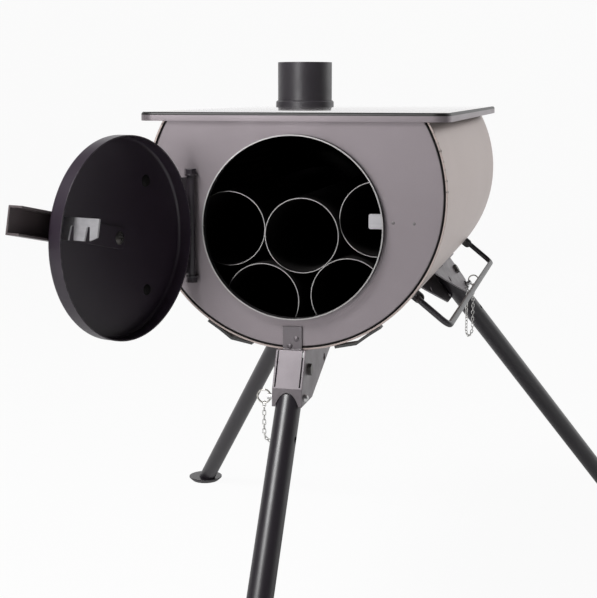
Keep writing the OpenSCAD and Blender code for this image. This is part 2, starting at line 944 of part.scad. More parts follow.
module pin_chain(leg) {
    wire = chain_wire / 2;
    pin_y = pivot_in - pin_reach * sin(leg_lean(leg));
    pin_drop = pivot_ring + pin_reach * cos(leg_lean(leg));
    ring_low = ring_r + ring_wire / 2 + soft_gap;
    ring_end = leg_point(leg, pin_eye + ring_r, pin_y, pin_drop) - [0, 0, ring_low];
    wall_end = leg_point(leg, bracket_in + bracket_sheet / 2, pivot_in + 4, bracket_low + 0.8);
    low = min(ring_end.z, wall_end.z) - (leg == 0 ? chain_drop_front : chain_drop_rear);
    color("silver") hanging_loop(ring_end, wall_end, low);
}

module bracket_rivets() {
    rivet_r = 2.2;
    rivet_high = 0.9;
    tab_spots = [[-3.2, body_r - 9.2], [2, body_r - 3.2]];
    flange_turn = asin(16.8 / body_r);
    color("gray")
    for (leg = [0 : 2])
        at_leg(leg)
        union() {
            for (spot = tab_spots)
                translate([spot.x, -bracket_sheet - 0.1, -spot.y])
                rotate([90, 0, 0])
                rivet_head(rivet_r, rivet_high);
            for (side = [-1, 1], y = [36, 76])
                rotate([0, -side * flange_turn, 0])
                translate([0, y, -body_r - soft_gap - bracket_sheet])
                rotate([180, 0, 0])
                rivet_head(rivet_r, rivet_high);
        }
}

// A bent strip under the front rim, beside which a folded rear leg lies.
module leg_rest(side) {
    strip = 2;
    base = body_r + soft_gap;
    turns = [-74, -66, -60.5, -55];
    rises = [0, 2.6, 0.4, 0];
    inner = [for (i = [0 : 3]) polar(base + rises[i], turns[i])];
    outer = [for (i = [3 : -1 : 0]) polar(base + rises[i] + strip, turns[i])];
    color("dimgray") at_body() mirror([side < 0 ? 1 : 0, 0, 0])
    plate_y(0.5, 10) polygon(concat(inner, outer));
}

// ---- Side bail ----

module side_bail() {
    long = body_len - 2 * bail_inset;
    tip = lug_thick + 4;
    color("dimgray") at_body() rotate([0, bail_angle, 0]) translate([bail_pivot, bail_inset, 0])
    union() {
        translate([bail_out, bail_bend, 0]) rod_y(bail_r, long - 2 * bail_bend);
        for (end = [0, 1])
            translate([0, end * long, 0])
            mirror([0, end, 0])
            union() {
                translate([bail_end_bend, 0, 0]) rod_x(bail_r, bail_out - bail_bend - bail_end_bend);
                translate([bail_out - bail_bend, bail_bend, 0])
                rotate([0, 0, -90])
                rod_bend(bail_bend, bail_r);
                translate([bail_end_bend, bail_end_bend, 0])
                rotate([0, 0, 180])
                rod_bend(bail_end_bend, bail_r);
                translate([0, bail_end_bend, 0]) rod_y(bail_r, tip);
            }
    }
}

module bail_lugs() {
    lug_r = bail_r + 1.8;
    color("dimgray") at_body() rotate([0, bail_angle, 0])
    for (y = [lug_y, body_len - lug_y])
        difference() {
            translate([0, y - lug_thick / 2, 0])
            union() {
                translate([bail_pivot, 0, 0]) rod_y(lug_r, lug_thick);
                translate([body_r - 1, 0, -lug_r])
                cube([bail_pivot - body_r, lug_thick, 2 * lug_r]);
            }
            translate([bail_pivot, y - lug_thick, 0]) rod_y(bail_r + running_fit, 2 * lug_thick);
            translate([0, y - lug_thick, 0]) rod_y(body_r + 0.1, 2 * lug_thick, $fn = body_round);
        }
}

// ---- Stowed pipes ----

// A flue pipe whose rear end is drawn in, so that it pushes into the next.
module flue_pipe(at, front) {
    neck = 25;
    cone = 4;
    tail_r = pipe_r - pipe_wall - 0.3;
    color("silver") at_body() translate([at.x, front, at.y])
    rotate([-90, 0, 0])
    rotate_extrude()
    polygon([
        [pipe_r, 0],
        [pipe_r, pipe_len - neck - cone],
        [tail_r, pipe_len - neck],
        [tail_r, pipe_len],
        [tail_r - pipe_wall, pipe_len],
        [tail_r - pipe_wall, pipe_len - neck],
        [pipe_r - pipe_wall, pipe_len - neck - cone],
        [pipe_r - pipe_wall, 0]
    ]);
}

body_shell();
front_plate();
back_plate();
opening_collar();
catch_tab();
top_plate();
flue_spigot();
spigot_bead();
hinge_ears();
hinge_bolt();
hinge_nut();
hinge_tube();
hinge_leaf();
door_pan();
door_lever();
latch_strip();
latch_plate();
lever_screw();
lever_nut();
for (leg = [0 : 2]) {
    leg_bracket(leg);
    leg_tube(leg);
    foot(leg);
    pivot_bolt(leg);
    pivot_nut(leg);
    lock_pin(leg);
    pull_ring(leg);
    pin_chain(leg);
}
bracket_rivets();
leg_rest(-1);  // leg_rest_left
leg_rest(1);  // leg_rest_right
side_bail();
bail_lugs();
for (pipe = [0 : 4]) {
    flue_pipe(PIPE_AT[pipe], pipe_front - PIPE_AHEAD[pipe]);
}
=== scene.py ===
"""Tent wood stove: finishes, a folded cooking top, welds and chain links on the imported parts.

Metres, +Z up, +Y from the door towards the back plate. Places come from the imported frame.
"""

import json
import math

import bmesh
import bpy
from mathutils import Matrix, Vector


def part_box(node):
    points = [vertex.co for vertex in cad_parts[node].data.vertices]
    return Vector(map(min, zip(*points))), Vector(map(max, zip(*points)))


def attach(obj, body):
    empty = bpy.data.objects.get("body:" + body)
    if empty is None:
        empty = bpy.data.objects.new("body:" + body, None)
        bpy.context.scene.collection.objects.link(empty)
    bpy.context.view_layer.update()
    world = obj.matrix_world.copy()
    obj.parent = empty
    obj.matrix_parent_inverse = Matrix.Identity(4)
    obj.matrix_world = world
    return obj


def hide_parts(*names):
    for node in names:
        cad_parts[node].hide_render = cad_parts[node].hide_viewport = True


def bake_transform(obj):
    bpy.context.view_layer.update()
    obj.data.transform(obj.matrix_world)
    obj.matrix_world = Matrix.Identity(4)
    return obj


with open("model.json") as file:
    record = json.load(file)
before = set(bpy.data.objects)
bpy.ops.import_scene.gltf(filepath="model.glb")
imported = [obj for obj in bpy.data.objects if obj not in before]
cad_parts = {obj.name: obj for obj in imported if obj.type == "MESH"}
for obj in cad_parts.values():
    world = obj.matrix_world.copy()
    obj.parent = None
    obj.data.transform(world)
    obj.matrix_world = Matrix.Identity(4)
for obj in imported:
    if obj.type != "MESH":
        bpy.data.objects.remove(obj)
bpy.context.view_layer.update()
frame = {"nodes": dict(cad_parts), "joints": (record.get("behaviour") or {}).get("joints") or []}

bl_info = {
    "name": "Tent Wood Stove",
    "version": (1, 0, 0),
    "blender": (4, 5, 0),
    "location": "3D View > Sidebar > Stove",
    "description": "Finishes and small pieces of a tent wood stove, with its studio",
    "category": "Object",
}

MM = 0.001
LEGS = ("front", "left", "right")
PIPES = ("low_left", "low_right", "middle", "upper_left", "upper_right")
JOINTS = {joint["name"]: joint for joint in frame["joints"]}


# ---- Places taken from the frame ----


def middle_of(node):
    """The middle of a part's box."""
    low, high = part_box(node)
    return (low + high) / 2


def joint_point(name):
    return Vector(JOINTS[name]["pos_m"])


def joint_axis(name):
    return Vector(JOINTS[name]["axis"]).normalized()


BODY_LOW, BODY_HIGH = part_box("body_shell")
BODY_R = (BODY_HIGH.x - BODY_LOW.x) / 2
BODY_AXIS = Vector((0, BODY_LOW.y, BODY_LOW.z + BODY_R))
FRONT_Y = BODY_LOW.y
BACK_Y = BODY_HIGH.y
TOP_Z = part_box("top_plate")[1].z
OPENING = middle_of("opening_collar")
COLLAR_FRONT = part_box("opening_collar")[0].y
SPIGOT_LOW, SPIGOT_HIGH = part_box("flue_spigot")
SPIGOT = (SPIGOT_LOW + SPIGOT_HIGH) / 2
SPIGOT_R = (SPIGOT_HIGH.x - SPIGOT_LOW.x) / 2
DOOR_OUT = joint_axis("latch_pivot")
DOOR_FACE = joint_point("latch_pivot")


# ---- Fixed sizes and places ----

# Turns that point a local Z up, to the back plate or to the door
UPWARDS = (0, 0, 0)
TO_BACK = (math.radians(-90), 0, 0)
TO_FRONT = (math.radians(90), 0, 0)

SHEET = 1.5 * MM  # the body and its plates
DOOR_SHEET = 1.0 * MM
CHAIN_LOOP_R = 1.2 * MM  # half the thickness of a chain's CAD loop
SEAM_SHADE_WIDTH = 3.2 * MM  # width of the painted shade band at the rim of an end plate, in the seam where it meets the wrapper
MASK_EDGE = 0.1 * MM  # half the soft edge of a mask

# Round the body's rim, in degrees from +X over the top
RIM_TACKS = (3, 7, 11, 14, 18, 21, 25, 152, 160)
# Across and up from the middle of the opening, in mm
PLATE_MARKS = ((78.7, 5.5), (94.8, 5.1))
# Along the door and up from the latch's screw, in mm
DOOR_PLUGS = ((-34, 40), (-33, -43))

# Place, width and height of the soft lamps, which all face LAMP_AIM
LAMPS = {
    "key_lamp": ((-0.85, -1.5, 2.4), 0.9, 0.7),
    "fill_lamp": ((-0.95, -2.5, 0.9), 1.0, 0.9),
    "side_lamp": ((2.2, 2.2, 1.2), 1.8, 1.8),
}
LAMP_AIM = (0, 0, 0.4)
SENSOR_WIDTH = 36  # of the camera, in mm

WHITE = (1, 1, 1, 1)
ORIGIN = (0, 0, 0)


# ---- What a user would change ----


def colour_of(name, description, default):
    return bpy.props.FloatVectorProperty(
        name=name, description=description, default=default, size=3, min=0, max=1, subtype="COLOR"
    )


def share_of(name, description, default):
    return bpy.props.FloatProperty(
        name=name, description=description, default=default, min=0, max=1, subtype="FACTOR"
    )


def length_of(name, description, default):
    return bpy.props.FloatProperty(
        name=name,
        description=description,
        default=default,
        min=0.1 * MM,
        max=1,
        subtype="DISTANCE",
        unit="LENGTH",
    )


def light_of(name, description, default, unit="NONE"):
    return bpy.props.FloatProperty(
        name=name, description=description, default=default, min=0, unit=unit
    )


class StovePaints(bpy.types.PropertyGroup):
    """Colours and gloss of the painted sheet."""

    plate: colour_of("End plates", "Paint of the end plates and the top's skirt", (0.305, 0.268, 0.287))
    body: colour_of("Body", "Paint of the wrapper round the body", (0.505, 0.42, 0.395))
    top: colour_of("Cooking top", "Paint of the cooking top's flat face", (0.42, 0.40, 0.405))
    flue: colour_of("Flue spigot", "Paint of the spigot and its bead", (0.034, 0.029, 0.036))
    door: colour_of("Door", "Paint of the door pan and the strip inside it", (0.029, 0.0195, 0.0315))
    lever: colour_of("Lever", "Paint of the lever and the leg rests", (0.118, 0.096, 0.099))
    hinge: colour_of("Hinge", "Paint of the hinge", (0.040, 0.033, 0.0405))
    bracket: colour_of("Brackets", "Paint of the leg brackets and their rivets", (0.185, 0.166, 0.178))
    leg: colour_of("Legs", "Paint of the leg tubes, feet and bail", (0.020, 0.0165, 0.0215))
    collar: colour_of("Collar", "Paint round the collar of the opening", (0.02, 0.018, 0.019))
    # This colour is real soot in the firebox and on the welds, and also the painted shade in the end
    # plates' seams and the painted dark reflection on the cooking top's fold.
    soot_and_painted_shade: colour_of("Soot", "Soot in the firebox, and dark seams and fold", (0.006, 0.005, 0.005))
    plate_gloss: share_of("Body roughness", "Roughness of the paint on body, plates and brackets", 0.42)
    dark_gloss: share_of("Dark roughness", "Roughness of the paint on door and legs", 0.36)
    body_metal: share_of("Body metal", "How metallic the body's paint is", 0.6)


class StoveSteel(bpy.types.PropertyGroup):
    """Colours of the bare metal."""

    bright: colour_of("Bright steel", "Latch plate and nut, catch tab and lock pins", (0.50, 0.49, 0.51))
    edge: colour_of("Cut edge", "Bare cut edges, and rubbed edges of the paint", (0.50, 0.49, 0.485))
    pipe: colour_of("Pipes", "Stowed flue pipes", (0.10, 0.095, 0.095))
    bolt: colour_of("Bolts", "Pivot bolts and nuts, and the lever's screw", (0.10, 0.095, 0.09))
    chain: colour_of("Chain", "Chain links and pull rings", (0.66, 0.64, 0.60))
    worn_hinge: colour_of("Worn hinge", "Rubbed edges of the hinge", (0.4, 0.4, 0.4))
    worn_bolt: colour_of("Worn bolts", "Rubbed edges of the bolts", (0.5, 0.5, 0.5))


class StoveSmallPieces(bpy.types.PropertyGroup):
    """Sizes of the chain links, the welds and the cooking top's fold."""

    link_length: length_of("Link length", "Outside length of a chain link", 5.2 * MM)
    link_width: length_of("Link width", "Outside width of a chain link", 3.3 * MM)
    link_wire: length_of("Link wire", "Wire of a chain link", 0.8 * MM)
    tack_size: length_of("Tack weld", "Width of a tack weld on the body's rim", 2.2 * MM)
    dimple_size: length_of("Dimple", "Width of a welding mark on the front plate", 2.4 * MM)
    plug_size: length_of("Plug weld", "Width of a plug weld in the door", 9.0 * MM)
    # edge_bend also sets how far down the fold the painted dark reflection reaches.
    edge_bend: length_of("Folded edge", "Outer bend radius of the cooking top's edge", 2.4 * MM)


class StoveStage(bpy.types.PropertyGroup):
    """Camera and lamps."""

    lens: bpy.props.FloatProperty(
        name="Lens",
        description="Focal length of the camera in mm",
        default=77.27,
        min=20,
        max=200,
        unit="CAMERA",
    )
    heading: bpy.props.FloatProperty(
        name="Heading",
        description="How far the camera looks to the left of +Y",
        default=math.radians(13.24),
        subtype="ANGLE",
    )
    pitch: bpy.props.FloatProperty(
        name="Pitch",
        description="How far the camera looks down",
        default=math.radians(9.28),
        subtype="ANGLE",
    )
    place: bpy.props.FloatVectorProperty(
        name="Place",
        description="Place of the camera, from the middle of the door opening",
        default=(0.2316, -0.9648, 0.1060),
        size=3,
        subtype="TRANSLATION",
    )
    key_lamp: light_of("Key lamp", "Power of the soft lamp in front, high on the left", 58, "POWER")
    fill_lamp: light_of("Fill lamp", "Power of the low soft lamp in front, on the left", 13, "POWER")
    side_lamp: light_of("Side lamp", "Power of the soft lamp behind, on the right", 5, "POWER")
    sky_front: light_of("Light from the front", "Light from the camera's side", 0.1)
    sky_back: light_of("Light from the back", "Light from behind the stove", 1.0)
    sky_above: light_of("Light from above", "Share of that light that is left overhead", 0.25)


# ---- Node trees ----


class Graph:
    """A node tree that is being filled."""

    def __init__(self, tree):
        self.tree = tree

    def add(self, kind, inputs=None, **settings):
        """A new node, with its settings and with what its sockets take: a value or another socket."""
        node = self.tree.nodes.new(kind)
        for key, value in settings.items():
            setattr(node, key, value)
        for key, value in (inputs or {}).items():
            self.feed(node.inputs[key], value)
        return node

    def feed(self, socket, value):
        if isinstance(value, bpy.types.NodeSocket):
            self.tree.links.new(value, socket)
        elif value is not None:
            socket.default_value = value

    def calc(self, operation, *values, clamp=False):
        """A Math node's result."""
        inputs = dict(enumerate(values))
        return self.add("ShaderNodeMath", inputs, operation=operation, use_clamp=clamp).outputs[0]

    def noise(self, vector, scale, detail=2.0, rough=0.5):
        inputs = {"Vector": vector, "Scale": scale, "Detail": detail, "Roughness": rough}
        return self.add("ShaderNodeTexNoise", inputs).outputs["Fac"]

    def ramp(self, value, low, high, start=0.0, end=1.0):
        """Value carried from low..high to start..end, smoothly."""
        inputs = {"Value": value, 1: low, 2: high, 3: start, 4: end}
        node = self.add("ShaderNodeMapRange", inputs, interpolation_type="SMOOTHSTEP")
        return node.outputs[0]

    def mix(self, mask, first, second):
        """A colour between first and second."""
        node = self.add("ShaderNodeMix", data_type="RGBA")
        self.feed(node.inputs["Factor"], mask)
        self.feed(node.inputs["A"], first)
        self.feed(node.inputs["B"], second)
        return node.outputs["Result"]

    def blend(self, mask, first, second):
        """A number between first and second."""
        node = self.add("ShaderNodeMix", data_type="FLOAT")
        self.feed(node.inputs["Factor"], mask)
        self.feed(node.inputs["A"], first)
        self.feed(node.inputs["B"], second)
        return node.outputs["Result"]


def new_group(name, kind, inputs, outputs, build):
    """A node group. inputs are (label, socket type, default). build returns a socket for each output."""
    tree = bpy.data.node_groups.new(name, kind)
    for label, socket_type, default in inputs:
        socket = tree.interface.new_socket(label, in_out="INPUT", socket_type=socket_type)
        if default is not None:
            socket.default_value = default
    for label, socket_type in outputs:
        tree.interface.new_socket(label, in_out="OUTPUT", socket_type=socket_type)
    graph = Graph(tree)
    given = tree.nodes.new("NodeGroupInput").outputs
    made = build(graph, given)
    sink = tree.nodes.new("NodeGroupOutput")
    for (label, _), socket in zip(outputs, made, strict=True):
        tree.links.new(socket, sink.inputs[label])
    return tree


FLOAT, COLOUR, VECTOR = "NodeSocketFloat", "NodeSocketColor", "NodeSocketVector"


def powder_coat_group():
    """Satin paint: clouded shade, uneven gloss and a fine grain."""

    def build(graph, given):
        patch_share, speck_change = 2.7, 0.04
        patch_scale = graph.calc("MULTIPLY", given["Cloud Scale"], patch_share)
        cloud = graph.noise(given["Vector"], given["Cloud Scale"], detail=3.0, rough=0.55)
        patch = graph.noise(given["Vector"], patch_scale, detail=4.0, rough=0.6)
        grain = graph.noise(given["Vector"], given["Grain Scale"], detail=2.0, rough=0.6)
        change = graph.ramp(cloud, 0.3, 0.7, -1.0, 1.0)
        shade = graph.calc("MULTIPLY_ADD", change, given["Shade Change"], 1.0)
        speck = graph.calc("MULTIPLY_ADD", graph.ramp(grain, 0.35, 0.75, -1.0, 1.0), speck_change, 1.0)
        tint = graph.add(
            "ShaderNodeVectorMath",
            {"Vector": given["Colour"], "Scale": graph.calc("MULTIPLY", shade, speck)},
            operation="SCALE",
        )
        gloss = graph.ramp(patch, 0.3, 0.7, -1.0, 1.0)
        rough = graph.calc("MULTIPLY_ADD", gloss, given["Gloss Change"], given["Roughness"], clamp=True)
        return tint.outputs[0], rough, grain

    return new_group(
        "Powder Coat",
        "ShaderNodeTree",
        [
            ("Vector", VECTOR, None),
            ("Colour", COLOUR, (0.3, 0.3, 0.3, 1)),
            ("Shade Change", FLOAT, 0.05),
            ("Cloud Scale", FLOAT, 12.0),
            ("Roughness", FLOAT, 0.4),
            ("Gloss Change", FLOAT, 0.05),
            ("Grain Scale", FLOAT, 1500.0),
        ],
        [("Colour", COLOUR), ("Roughness", FLOAT), ("Grain", FLOAT)],
        build,
    )


def brushed_steel_group():
    """Bare steel: streaks along the vector's X, and small stains."""

    def build(graph, given):
        stretch, stain_scale = (0.06, 1.0, 1.0), 60.0
        stretched = graph.add(
            "ShaderNodeVectorMath", {0: given["Vector"], 1: stretch}, operation="MULTIPLY"
        ).outputs[0]
        streak = graph.noise(stretched, given["Streak Scale"])
        stain = graph.noise(given["Vector"], stain_scale, detail=3.0, rough=0.6)
        stripes = graph.ramp(streak, 0.3, 0.7, 0.94, 1.04)
        shade = graph.calc("MULTIPLY", stripes, graph.ramp(stain, 0.3, 0.7, 0.93, 1.04))
        tint = graph.add(
            "ShaderNodeVectorMath", {"Vector": given["Colour"], "Scale": shade}, operation="SCALE"
        )
        rough = graph.calc(
            "ADD", given["Roughness"], graph.ramp(streak, 0.3, 0.75, -0.03, 0.04), clamp=True
        )
        return tint.outputs[0], rough, streak

    return new_group(
        "Brushed Steel",
        "ShaderNodeTree",
        [
            ("Vector", VECTOR, None),
            ("Colour", COLOUR, (0.6, 0.6, 0.6, 1)),
            ("Roughness", FLOAT, 0.3),
            ("Streak Scale", FLOAT, 900.0),
        ],
        [("Colour", COLOUR), ("Roughness", FLOAT), ("Grain", FLOAT)],
        build,
    )


def finish_change_group():
    """One finish over another, where the mask is 1."""

    def build(graph, given):
        mask = given["Mask"]
        return (
            graph.mix(mask, given["Under Colour"], given["Over Colour"]),
            graph.blend(mask, given["Under Roughness"], given["Over Roughness"]),
            graph.blend(mask, given["Under Metal"], given["Over Metal"]),
        )

    return new_group(
        "Finish Change",
        "ShaderNodeTree",
        [
            ("Mask", FLOAT, 0.0),
            ("Under Colour", COLOUR, (0.3, 0.3, 0.3, 1)),
            ("Under Roughness", FLOAT, 0.4),
            ("Under Metal", FLOAT, 0.0),
            ("Over Colour", COLOUR, (0.6, 0.6, 0.6, 1)),
            ("Over Roughness", FLOAT, 0.3),
            ("Over Metal", FLOAT, 1.0),
        ],
        [("Colour", COLOUR), ("Roughness", FLOAT), ("Metal", FLOAT)],
        build,
    )


def rubbed_edge_group():
    """Where an edge is rubbed, and the normal of an edge that is slightly rounded."""

    def build(graph, given):
        rounded = graph.add("ShaderNodeBevel", {"Radius": given["Radius"]}, samples=6).outputs[0]
        flat = graph.add("ShaderNodeNewGeometry").outputs["Normal"]
        turn = graph.add("ShaderNodeVectorMath", {0: rounded, 1: flat}, operation="DOT_PRODUCT")
        sharp = graph.ramp(graph.calc("SUBTRACT", 1.0, turn.outputs["Value"]), 0.02, 0.22)
        patch = graph.noise(given["Vector"], scale=240.0, detail=4.0, rough=0.65)
        broken = graph.ramp(patch, 0.38, 0.62)
        return graph.calc("MULTIPLY", graph.calc("MULTIPLY", sharp, broken), given["Amount"]), rounded

    return new_group(
        "Rubbed Edge",
        "ShaderNodeTree",
        [("Vector", VECTOR, None), ("Radius", FLOAT, 0.0005), ("Amount", FLOAT, 0.5)],
        [("Mask", FLOAT), ("Normal", VECTOR)],
        build,
    )


def tube_mask_group():
    """1 nearer than Radius to the vector's Z axis."""

    def build(graph, given):
        parts = graph.add("ShaderNodeSeparateXYZ", {"Vector": given["Vector"]}).outputs
        across = graph.add("ShaderNodeCombineXYZ", {"X": parts["X"], "Y": parts["Y"]})
        reach = graph.add("ShaderNodeVectorMath", {0: across.outputs[0]}, operation="LENGTH")
        low = graph.calc("SUBTRACT", given["Radius"], given["Softness"])
        high = graph.calc("ADD", given["Radius"], given["Softness"])
        return (graph.ramp(reach.outputs["Value"], low, high, 1.0, 0.0),)

    return new_group(
        "Tube Mask",
        "ShaderNodeTree",
        [("Vector", VECTOR, None), ("Radius", FLOAT, 0.1), ("Softness", FLOAT, 0.0002)],
        [("Mask", FLOAT)],
        build,
    )


def plane_mask_group():
    """1 beyond Distance along the vector's Z."""

    def build(graph, given):
        parts = graph.add("ShaderNodeSeparateXYZ", {"Vector": given["Vector"]}).outputs
        low = graph.calc("SUBTRACT", given["Distance"], given["Softness"])
        high = graph.calc("ADD", given["Distance"], given["Softness"])
        return (graph.ramp(parts["Z"], low, high),)

    return new_group(
        "Plane Mask",
        "ShaderNodeTree",
        [("Vector", VECTOR, None), ("Distance", FLOAT, 0.0), ("Softness", FLOAT, 0.0001)],
        [("Mask", FLOAT)],
        build,
    )


GROUP_MAKERS = {
    "Powder Coat": powder_coat_group,
    "Brushed Steel": brushed_steel_group,
    "Finish Change": finish_change_group,
    "Rubbed Edge": rubbed_edge_group,
    "Tube Mask": tube_mask_group,
    "Plane Mask": plane_mask_group,
}


class Finish(Graph):
    """A material that is being filled, from a base finish up to its shader."""

    def __init__(self, name):
        self.material = bpy.data.materials.new(name)
        self.material.use_nodes = True
        self.material.node_tree.nodes.clear()
        super().__init__(self.material.node_tree)
        self.place = self.add("ShaderNodeTexCoord").outputs["Object"]
        self.normal = None

    def group(self, name, inputs):
        tree = bpy.data.node_groups.get(name) or GROUP_MAKERS[name]()
        node = self.add("ShaderNodeGroup", node_tree=tree)
        for key, value in inputs.items():
            self.feed(node.inputs[key], value)
        return node.outputs

    def seen_from(self, centre, turn):
        """Coordinates in a frame of its own, with its origin at centre."""
        inputs = {"Vector": self.place, "Location": centre, "Rotation": turn}
        return self.add("ShaderNodeMapping", inputs, vector_type="TEXTURE").outputs[0]

    def paint(self, colour, roughness, metal=0.0, shade=0.05, cloud=12.0, gloss=0.05, grain=1500.0):
        """Paint. shade and gloss say how much it changes, cloud and grain how finely."""
        coat = self.group(
            "Powder Coat",
            {
                "Vector": self.place,
                "Colour": (*colour, 1),
                "Shade Change": shade,
                "Cloud Scale": cloud,
                "Roughness": roughness,
                "Gloss Change": gloss,
                "Grain Scale": grain,
            },
        )
        self.colour, self.rough, self.grain = coat["Colour"], coat["Roughness"], coat["Grain"]
        self.metal = metal

    def steel(self, colour, roughness, turn=UPWARDS, streak=900.0, metal=1.0):
        """Bare steel, with streaks along the turned frame's X."""
        bare = self.group(
            "Brushed Steel",
            {
                "Vector": self.seen_from(ORIGIN, turn),
                "Colour": (*colour, 1),
                "Roughness": roughness,
                "Streak Scale": streak,
            },
        )
        self.colour, self.rough, self.grain = bare["Colour"], bare["Roughness"], bare["Grain"]
        self.metal = metal

    def rub(self, colour, amount, radius=0.5 * MM):
        """Rounds the edges a little and rubs them down to bare steel."""
        edge = self.group("Rubbed Edge", {"Vector": self.place, "Radius": radius, "Amount": amount})
        self.normal = edge["Normal"]
        self.cover(edge["Mask"], colour, roughness=0.35, metal=1.0)

    def cover(self, mask, colour, roughness, metal):
        """Another finish where the mask is 1."""
        made = self.group(
            "Finish Change",
            {
                "Mask": mask,
                "Under Colour": self.colour,
                "Under Roughness": self.rough,
                "Under Metal": self.metal,
                "Over Colour": (*colour, 1),
                "Over Roughness": roughness,
                "Over Metal": metal,
            },
        )
        self.colour, self.rough, self.metal = made["Colour"], made["Roughness"], made["Metal"]

    def inside(self, centre, turn, radius):
        """A mask that is 1 inside a tube."""
        return self.group("Tube Mask", {"Vector": self.seen_from(centre, turn), "Radius": radius})["Mask"]

    def beyond(self, centre, turn, distance=0.0, soft=MASK_EDGE):
        """A mask that is 1 past a plane, on its local Z."""
        inputs = {"Vector": self.seen_from(centre, turn), "Distance": distance, "Softness": soft}
        return self.group("Plane Mask", inputs)["Mask"]

    def done(self, bump=0.02 * MM, **shader):
        """Ends the material in its shader. bump is the grain's height, shader holds other sockets."""
        height = self.add("ShaderNodeBump", {"Height": self.grain, "Distance": bump, "Strength": 1.0})
        if self.normal is not None:
            self.feed(height.inputs["Normal"], self.normal)
        inputs = {
            "Base Color": self.colour,
            "Roughness": self.rough,
            "Metallic": self.metal,
            "Normal": height.outputs[0],
        }
        inputs.update({key.replace("_", " "): value for key, value in shader.items()})
        shader_node = self.add("ShaderNodeBsdfPrincipled", inputs)
        self.add("ShaderNodeOutputMaterial", {"Surface": shader_node.outputs[0]})
        return self.material


def put_on(material, *nodes):
    """Gives CAD nodes a material."""
    for node in nodes:
        shown = frame["nodes"][node]
        if not shown.material_slots:
            shown.data.materials.append(material)
        for slot in shown.material_slots:
            slot.material = material


# ---- Finishes of the body ----


def end_plate_paint(name, soot_y, soot_turn):
    """Paint outside, a band of painted shade in the seam at the rim, soot on the side that faces the
    firebox.
    """
    paints = bpy.context.scene.stove_paints
    finish = Finish(name)
    finish.paint(paints.plate, paints.plate_gloss, paints.body_metal, shade=0.05, cloud=9.0, gloss=0.04)
    finish.rub(bpy.context.scene.stove_steel.edge, amount=0.15)
    # Painted shade: a dark band round the rim stands in for the shade in the seam between plate and
    # wrapper.
    clear_of_seam_shade = finish.inside(BODY_AXIS, TO_BACK, BODY_R - SEAM_SHADE_WIDTH)
    finish.cover(finish.calc("SUBTRACT", 1.0, clear_of_seam_shade), paints.soot_and_painted_shade, roughness=0.5, metal=0.0)
    finish.cover(finish.beyond((0, soot_y, 0), soot_turn), paints.soot_and_painted_shade, roughness=0.85, metal=0.0)
    return finish.done()


def wrapper_paint():
    """Paint outside, soot inside, and a rubbed rim."""
    paints = bpy.context.scene.stove_paints
    finish = Finish("body_paint")
    finish.paint(paints.body, paints.plate_gloss, paints.body_metal, shade=0.02, cloud=5.0, gloss=0.01)
    finish.rub(bpy.context.scene.stove_steel.edge, amount=0.5)
    inner_face = BODY_R - SHEET + MASK_EDGE
    finish.cover(finish.inside(BODY_AXIS, TO_BACK, inner_face), paints.soot_and_painted_shade, roughness=0.85, metal=0.0)
    return finish.done()


def top_paint():
    """The plates' paint on the skirt, a painted dark reflection on the fold, smooth under a glossy coat
    on the flat face.
    """
    paints = bpy.context.scene.stove_paints
    bend = bpy.context.scene.stove_small.edge_bend
    finish = Finish("top_paint")
    finish.paint(paints.plate, paints.plate_gloss, paints.body_metal, shade=0.04, cloud=7.0, gloss=0.03)
    # Painted reflection: a dark band on the fold, where its bend reflects the dark surroundings.
    fold = finish.beyond((0, 0, TOP_Z), UPWARDS, distance=-bend, soft=0.15 * MM)
    face = finish.beyond((0, 0, TOP_Z), UPWARDS, distance=-0.08 * MM, soft=0.02 * MM)
    fold_painted_reflection = finish.calc("SUBTRACT", fold, face, clamp=True)
    finish.cover(fold_painted_reflection, paints.soot_and_painted_shade, roughness=0.45, metal=0.0)
    finish.cover(face, paints.top, roughness=0.22, metal=paints.body_metal)
    return finish.done(bump=0.002 * MM, Coat_Weight=face, Coat_Roughness=0.04)


def flue_paint():
    """Black paint outside, soot inside."""
    paints = bpy.context.scene.stove_paints
    inner_face = SPIGOT_R - 0.5 * MM
    finish = Finish("flue_paint")
    finish.paint(paints.flue, roughness=0.42, shade=0.1, cloud=14.0)
    finish.rub(bpy.context.scene.stove_steel.edge, amount=0.35, radius=0.4 * MM)
    finish.cover(finish.inside(SPIGOT, UPWARDS, inner_face), paints.soot_and_painted_shade, roughness=0.9, metal=0.0)
    return finish.done(Specular_IOR_Level=1.0)


def collar_steel():
    """Painted, with a bare front edge."""
    scene = bpy.context.scene
    bare_depth = 0.4 * MM
    finish = Finish("rim_steel")
    finish.paint(scene.stove_paints.collar, roughness=0.5)
    front = finish.beyond((0, COLLAR_FRONT + bare_depth, 0), TO_FRONT)
    finish.cover(front, scene.stove_steel.edge, roughness=0.32, metal=1.0)
    return finish.done()


def bright_steel():
    """Plated steel, less of a mirror than bare steel."""
    finish = Finish("bright_steel")
    finish.steel(bpy.context.scene.stove_steel.bright, roughness=0.4, streak=500.0, metal=0.5)
    return finish.done(bump=0.001 * MM)


def merged_copy(node):
    """A copy of a CAD node whose corners are joined and whose flat faces are whole, as a bmesh."""
    same_place, flat = 0.001 * MM, math.radians(0.5)
    work = bmesh.new()
    work.from_mesh(frame["nodes"][node].data)
    bmesh.ops.remove_doubles(work, verts=work.verts, dist=same_place)
    bmesh.ops.dissolve_limit(work, angle_limit=flat, verts=work.verts, edges=work.edges)
    return work


def piece_from(name, work, material):
    """A piece of its own from a finished bmesh."""
    bmesh.ops.recalc_face_normals(work, faces=work.faces)
    mesh = bpy.data.meshes.new(name)
    work.to_mesh(mesh)
    work.free()
    mesh.materials.append(material)
    piece = bpy.data.objects.new(name, mesh)
    bpy.context.scene.collection.objects.link(piece)
    return piece


